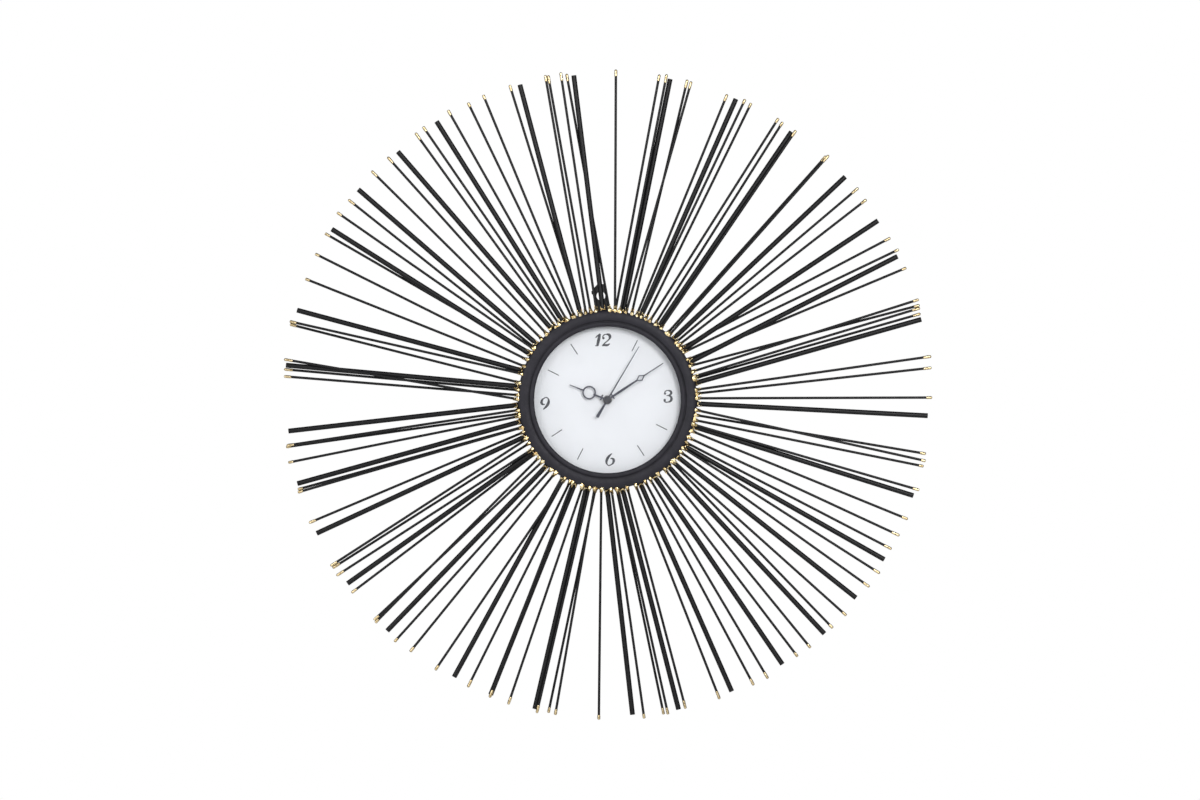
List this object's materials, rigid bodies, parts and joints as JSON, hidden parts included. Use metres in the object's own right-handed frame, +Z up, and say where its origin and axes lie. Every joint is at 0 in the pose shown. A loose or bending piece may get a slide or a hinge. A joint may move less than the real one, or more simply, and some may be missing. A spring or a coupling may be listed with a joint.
{
  "type": "sunburst wall clock",
  "caption": "Round analogue wall clock with a white dial, framed by a sunburst of black metal rays with gold tips, driven by a battery quartz movement.",
  "frame": {"origin": "middle of the nail hole, in the plane of the wall; the hands' axis is 130.7 mm below it and 8.2 mm towards +X", "axes": "+Z up; +Y from the dial into the wall, so the dial faces -Y; +X to the right as seen from the front"},
  "size_m": [0.8119, 0.0416, 0.814],
  "materials": {
    "black_steel": "satin",
    "gold_tip": "satin",
    "braze": "rough",
    "charcoal_bezel": "fine texture",
    "bright_steel": "satin",
    "clear_glass": "gloss",
    "black_plastic": "matte",
    "dial_white": "matte",
    "dial_ink": "printed ink",
    "rubber": "matte",
    "turned_brass": "turned",
    "white_gear": "moulded",
    "magnet": "sintered",
    "motor_iron": "stamped",
    "copper_wire": "enamelled winding",
    "green_board": "solder mask",
    "cell_jacket": "printed jacket",
    "hand_grey": "satin"
  },
  "bodies": {
    "case": {"hoop": "black_steel", "front_wires": "black_steel", "rear_wires": "black_steel", "thick_rods": "black_steel", "front_gold_tips": "gold_tip", "rear_gold_tips": "gold_tip", "front_braze": "braze", "middle_braze": "braze", "rear_braze": "braze", "bezel": "charcoal_bezel", "bezel_screws": "bright_steel", "lens": "clear_glass", "lens_spacer": "black_plastic", "dial": "dial_white", "dial_numerals": "dial_ink", "hour_ticks": "dial_ink", "back_plate": "black_steel", "back_plate_screws": "bright_steel", "wall_pads": "rubber", "hanger_plate": "black_steel", "hanger_rivets": "bright_steel", "movement_case": "black_plastic", "movement_cover": "black_plastic", "threaded_bush": "turned_brass", "bush_nut": "turned_brass", "steel_washer": "bright_steel", "rubber_washer": "rubber", "intermediate_stud": "bright_steel", "stator": "motor_iron", "coil_core": "motor_iron", "coil_bobbin": "white_gear", "coil_winding": "copper_wire", "circuit_board": "green_board", "quartz_crystal": "bright_steel", "chip_cover": "black_plastic", "battery": "cell_jacket", "positive_contact": "bright_steel", "negative_contact": "bright_steel"},
    "minute_train": {"minute_hand": "hand_grey", "centre_wheel": "white_gear"},
    "hour_train": {"hour_hand": "hand_grey", "hour_wheel": "white_gear"},
    "seconds_train": {"second_hand": "hand_grey", "hub_cap": "hand_grey", "seconds_wheel": "white_gear", "seconds_arbor": "bright_steel"},
    "third_train": {"third_wheel": "white_gear", "third_arbor": "bright_steel"},
    "intermediate_train": {"intermediate_wheel": "white_gear"},
    "rotor": {"rotor_pinion": "white_gear", "rotor_magnet": "magnet"},
    "setting_train": {"minute_work_wheel": "white_gear", "setting_arbor": "bright_steel", "setting_knob": "white_gear"}
  },
  "joints": [
    {"name": "minute_spin", "type": "hinge", "parent": "case", "child": "minute_train", "pos_m": [0.0082, 0, -0.1307], "axis": [0, 1, 0], "continuous": true},
    {"name": "hour_spin", "type": "hinge", "parent": "case", "child": "hour_train", "pos_m": [0.0082, 0, -0.1307], "axis": [0, 1, 0], "continuous": true},
    {"name": "second_spin", "type": "hinge", "parent": "case", "child": "seconds_train", "pos_m": [0.0082, 0, -0.1307], "axis": [0, 1, 0], "continuous": true},
    {"name": "third_spin", "type": "hinge", "parent": "case", "child": "third_train", "pos_m": [-0.00257, 0, -0.12568], "axis": [0, 1, 0], "continuous": true},
    {"name": "intermediate_spin", "type": "hinge", "parent": "case", "child": "intermediate_train", "pos_m": [0.01068, 0, -0.12143], "axis": [0, 1, 0], "continuous": true},
    {"name": "rotor_spin", "type": "hinge", "parent": "case", "child": "rotor", "pos_m": [0.01712, 0, -0.11603], "axis": [0, 1, 0], "continuous": true},
    {"name": "setting_spin", "type": "hinge", "parent": "case", "child": "setting_train", "pos_m": [0.02025, 0, -0.12747], "axis": [0, 1, 0], "continuous": true}
  ],
  "couplings": [
    {"joint": "hour_spin", "follows": "minute_spin", "ratio": 0.083333},
    {"joint": "second_spin", "follows": "minute_spin", "ratio": 60},
    {"joint": "third_spin", "follows": "minute_spin", "ratio": -8},
    {"joint": "intermediate_spin", "follows": "minute_spin", "ratio": -300},
    {"joint": "rotor_spin", "follows": "minute_spin", "ratio": 1800},
    {"joint": "setting_spin", "follows": "minute_spin", "ratio": -0.33333}
  ]
}
